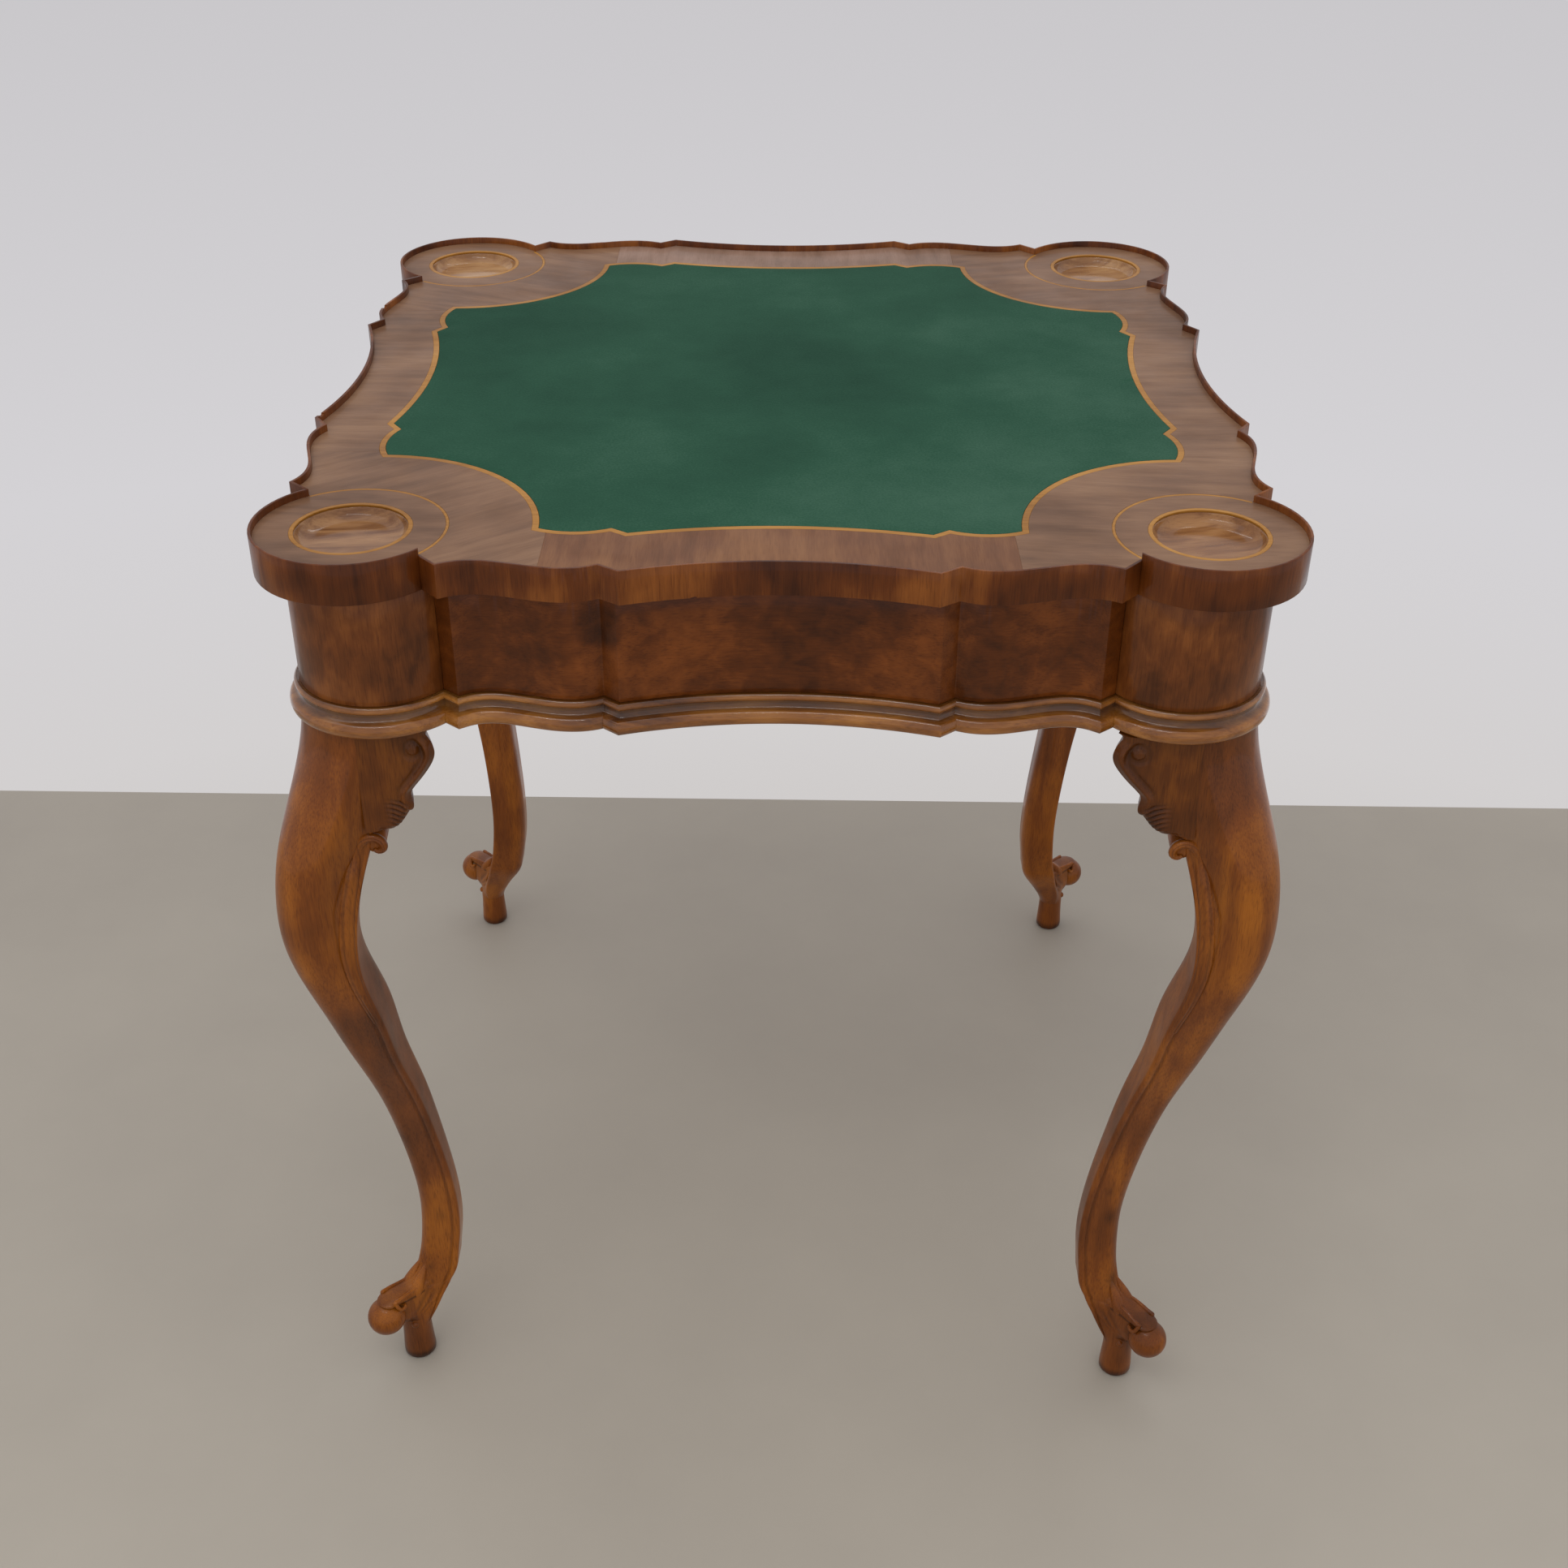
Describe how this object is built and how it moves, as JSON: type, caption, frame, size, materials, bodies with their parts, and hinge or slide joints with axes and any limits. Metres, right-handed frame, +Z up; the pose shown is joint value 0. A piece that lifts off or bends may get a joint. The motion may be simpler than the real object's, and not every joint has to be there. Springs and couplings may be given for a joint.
{
  "type": "games table",
  "caption": "Square serpentine games table: loose baize-lined top with round dished ears on a veneered frame, cabriole legs with carved brackets and scroll feet.",
  "frame": {"origin": "on the floor, under the middle of the table", "axes": "+X to the right, +Y to the back, +Z up; the edge without a lip is at the front"},
  "size_m": [0.7256, 0.7213, 0.778],
  "materials": {
    "top_veneer": "satin",
    "crossbanding": "gloss",
    "burr_veneer": "gloss",
    "moulding_walnut": "gloss",
    "carved_walnut": "gloss",
    "dish_walnut": "satin",
    "stringing": "satin",
    "secondary_wood": "matte",
    "baize_cloth": "matte",
    "screw_iron": "worn"
  },
  "bodies": {
    "frame": {"bracket_back_left_back": "carved_walnut", "bracket_back_left_left": "carved_walnut", "bracket_back_right_back": "carved_walnut", "bracket_back_right_right": "carved_walnut", "bracket_front_left_front": "carved_walnut", "bracket_front_left_left": "carved_walnut", "bracket_front_right_front": "carved_walnut", "bracket_front_right_right": "carved_walnut", "burr_veneer_back": "burr_veneer", "burr_veneer_front": "burr_veneer", "burr_veneer_left": "burr_veneer", "burr_veneer_right": "burr_veneer", "corner_block_back_left": "secondary_wood", "corner_block_back_right": "secondary_wood", "corner_block_front_left": "secondary_wood", "corner_block_front_right": "secondary_wood", "corner_mouldings": "moulding_walnut", "drum_veneers": "burr_veneer", "ledger_strips": "secondary_wood", "leg_back_left": "carved_walnut", "leg_back_right": "carved_walnut", "leg_front_left": "carved_walnut", "leg_front_right": "carved_walnut", "moulding_back": "moulding_walnut", "moulding_front": "moulding_walnut", "moulding_left": "moulding_walnut", "moulding_right": "moulding_walnut", "rail_back": "secondary_wood", "rail_front": "secondary_wood", "rail_left": "secondary_wood", "rail_right": "secondary_wood", "well_floor": "secondary_wood"},
    "top": {"baize": "baize_cloth", "baize_stringing": "stringing", "batten_left": "secondary_wood", "batten_right": "secondary_wood", "batten_screws": "screw_iron", "border_back": "top_veneer", "border_front": "top_veneer", "border_left": "top_veneer", "border_right": "top_veneer", "corner_veneer_back_left": "top_veneer", "corner_veneer_back_right": "top_veneer", "corner_veneer_front_left": "top_veneer", "corner_veneer_front_right": "top_veneer", "dish_back_left": "dish_walnut", "dish_back_right": "dish_walnut", "dish_front_left": "dish_walnut", "dish_front_right": "dish_walnut", "dish_rings": "top_veneer", "ear_stringing": "stringing", "ear_veneers": "top_veneer", "edge_back": "crossbanding", "edge_ears": "crossbanding", "edge_front": "crossbanding", "edge_left": "crossbanding", "edge_right": "crossbanding", "top_core": "secondary_wood"}
  },
  "joints": [
    {"name": "top_lift", "type": "slide", "parent": "frame", "child": "top", "axis": [0, 0, 1], "range_m": [0, 0.06]}
  ]
}
